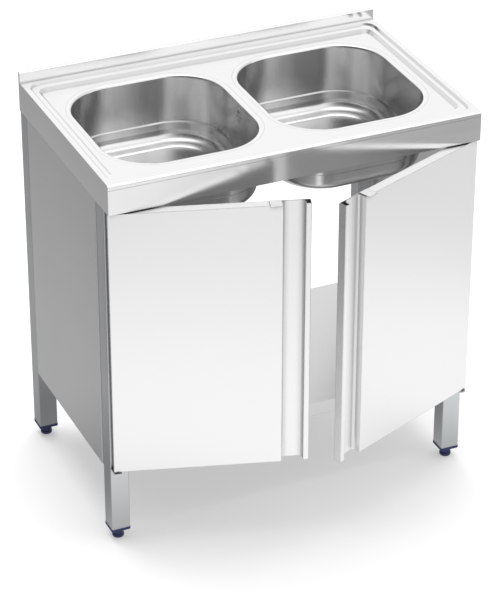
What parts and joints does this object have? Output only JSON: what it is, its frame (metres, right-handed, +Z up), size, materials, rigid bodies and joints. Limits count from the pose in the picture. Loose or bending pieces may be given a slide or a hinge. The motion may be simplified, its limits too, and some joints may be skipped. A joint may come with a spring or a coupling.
{
  "type": "double bowl sink unit",
  "caption": "Stainless-steel sink unit: pressed worktop with two bowls and a backsplash on a leg frame with side panels, shelf, hinged doors and screw feet.",
  "frame": {"origin": "on the floor, centred between the two sides, and halfway between the backsplash's rear face and the foremost corner of the right door as it stands ajar", "axes": "+Z up, +Y towards the backsplash, +X to the right of a person who faces the doors"},
  "size_m": [0.8, 0.6414, 0.8632],
  "materials": {
    "worktop_steel": "fine brushed stainless steel, nearly mirror bright",
    "bowl_steel": "satin deep-drawn stainless steel",
    "door_steel": "fine satin stainless steel",
    "panel_steel": "satin stainless steel",
    "frame_steel": "satin stainless steel tube",
    "shelf_steel": "satin stainless steel",
    "fixing_steel": "turned steel",
    "core_board": "raw light board",
    "bush_plastic": "grey nylon",
    "navy_plastic": "moulded navy nylon",
    "seal_rubber": "black rubber",
    "pale_plastic": "moulded white polypropylene",
    "pipe_plastic": "drawn white plastic pipe",
    "black_plastic": "moulded black plastic"
  },
  "bodies": {
    "cabinet": {"bowl_left": "bowl_steel", "bowl_right": "bowl_steel", "catch_left": "black_plastic", "catch_plate": "fixing_steel", "catch_right": "black_plastic", "catch_screws": "fixing_steel", "hinge_bracket_bottom_left": "fixing_steel", "hinge_bracket_bottom_right": "fixing_steel", "hinge_bracket_top_left": "fixing_steel", "hinge_bracket_top_right": "fixing_steel", "hinge_pins": "fixing_steel", "insert_front_left": "navy_plastic", "insert_front_right": "navy_plastic", "insert_rear_left": "navy_plastic", "insert_rear_right": "navy_plastic", "leg_front_left": "frame_steel", "leg_front_right": "frame_steel", "leg_rear_left": "frame_steel", "leg_rear_right": "frame_steel", "overflow_head_left": "pale_plastic", "overflow_head_right": "pale_plastic", "overflow_pipe_left": "pipe_plastic", "overflow_pipe_right": "pipe_plastic", "rail_front": "frame_steel", "rail_left": "frame_steel", "rail_rear": "frame_steel", "rail_right": "frame_steel", "shelf_brace": "shelf_steel", "shelf_screws": "fixing_steel", "shelf_tray": "shelf_steel", "side_panel_left": "panel_steel", "side_panel_right": "panel_steel", "waste_body_left": "pale_plastic", "waste_body_right": "pale_plastic", "waste_gasket_left": "seal_rubber", "waste_gasket_right": "seal_rubber", "waste_plate_left": "bowl_steel", "waste_plate_right": "bowl_steel", "waste_screws": "fixing_steel", "worktop": "worktop_steel"},
    "door_left": {"door_left_back": "door_steel", "door_left_bushes": "bush_plastic", "door_left_core": "core_board", "door_left_front": "door_steel", "door_left_lug": "door_steel"},
    "door_right": {"door_right_back": "door_steel", "door_right_bushes": "bush_plastic", "door_right_core": "core_board", "door_right_front": "door_steel", "door_right_lug": "door_steel"},
    "foot_front_left": {"foot_front_left": "navy_plastic"},
    "foot_front_right": {"foot_front_right": "navy_plastic"},
    "foot_rear_left": {"foot_rear_left": "navy_plastic"},
    "foot_rear_right": {"foot_rear_right": "navy_plastic"}
  },
  "joints": [
    {"name": "door_left_hinge", "type": "hinge", "parent": "cabinet", "child": "door_left", "pos_m": [-0.3903, -0.16834, 0.47985], "axis": [0, 0, -1], "range_deg": [-16.9, 93.1]},
    {"name": "door_right_hinge", "type": "hinge", "parent": "cabinet", "child": "door_right", "pos_m": [0.3903, -0.16834, 0.47985], "axis": [0, 0, 1], "range_deg": [-22.9, 87.1]},
    {"name": "foot_front_left_screw", "type": "slide", "parent": "cabinet", "child": "foot_front_left", "axis": [0, 0, -1], "range_m": [0, 0.025]},
    {"name": "foot_front_right_screw", "type": "slide", "parent": "cabinet", "child": "foot_front_right", "axis": [0, 0, -1], "range_m": [0, 0.025]},
    {"name": "foot_rear_left_screw", "type": "slide", "parent": "cabinet", "child": "foot_rear_left", "axis": [0, 0, -1], "range_m": [0, 0.025]},
    {"name": "foot_rear_right_screw", "type": "slide", "parent": "cabinet", "child": "foot_rear_right", "axis": [0, 0, -1], "range_m": [0, 0.025]}
  ]
}
